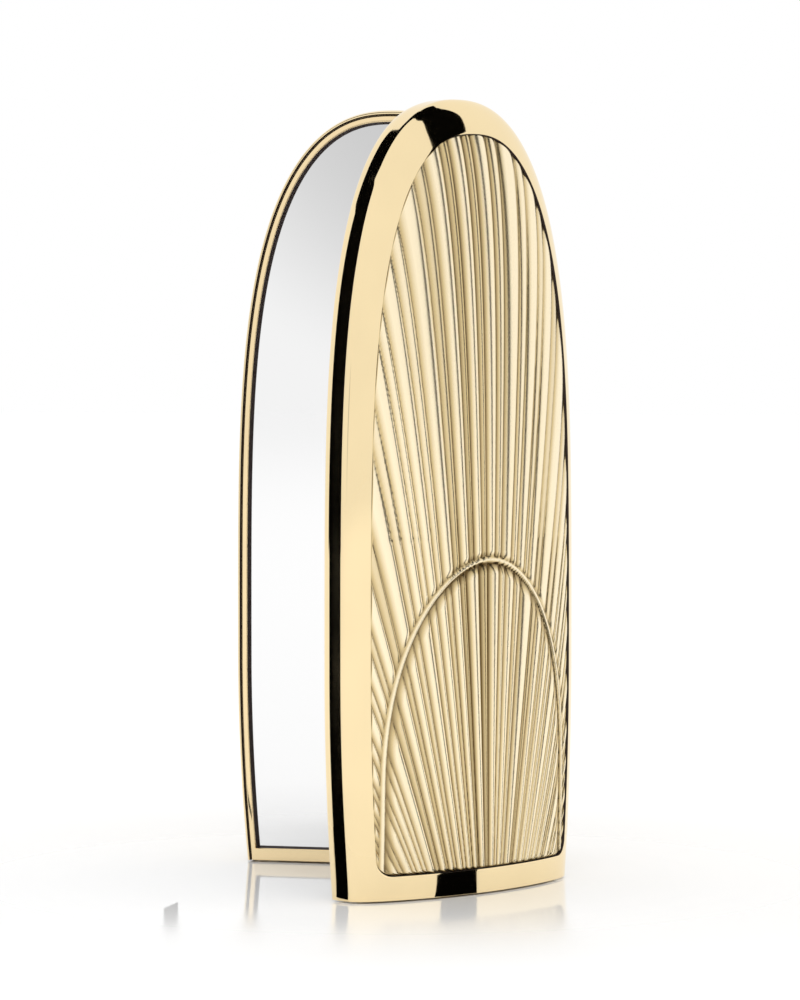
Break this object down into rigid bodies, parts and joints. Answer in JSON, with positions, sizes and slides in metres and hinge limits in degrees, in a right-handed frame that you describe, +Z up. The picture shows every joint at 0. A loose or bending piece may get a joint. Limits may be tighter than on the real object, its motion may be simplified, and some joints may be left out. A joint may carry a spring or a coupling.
{
  "type": "lipstick case",
  "caption": "Tall arch-topped lipstick case: a half-shell body with a refill socket and mirror, hinged to a fluted cover with a second mirror.",
  "frame": {"origin": "centre of the refill socket's mouth, on the base plane", "axes": "+Z up along the socket, -Y towards the body's mirror and the closed cover, +X towards the hinge"},
  "size_m": [0.0422, 0.0538, 0.09],
  "materials": {
    "polished_gold": "polished",
    "rim_gold": "polished",
    "base_gold": "polished",
    "satin_gold": "satin",
    "hinge_gold": "polished",
    "mirror_glass": "mirror",
    "dark_foam": "matte",
    "pale_plastic": "matte",
    "ballast_steel": "machined",
    "magnet_nickel": "satin",
    "washer_plastic": "matte"
  },
  "bodies": {
    "body": {"body_shell": "polished_gold", "body_frame": "rim_gold", "body_mirror": "mirror_glass", "body_mirror_pad": "dark_foam", "body_carrier": "pale_plastic", "base_plate": "base_gold", "ballast_weights": "ballast_steel", "socket_sleeve": "pale_plastic", "socket_magnet": "magnet_nickel", "body_latch_magnets": "magnet_nickel", "hinge_pin": "hinge_gold", "hinge_washers": "washer_plastic"},
    "cover": {"cover_shell": "polished_gold", "fluted_plate": "satin_gold", "plate_pad": "dark_foam", "cover_frame": "rim_gold", "cover_mirror": "mirror_glass", "cover_mirror_pad": "dark_foam", "cover_carrier": "pale_plastic", "cover_base_plate": "base_gold", "cover_latch_magnets": "magnet_nickel"}
  },
  "joints": [
    {"name": "cover_hinge", "type": "hinge", "parent": "body", "child": "cover", "pos_m": [0.02032, -0.0096, 0.03], "axis": [0, 0, 1], "range_deg": [-60, 45]}
  ]
}
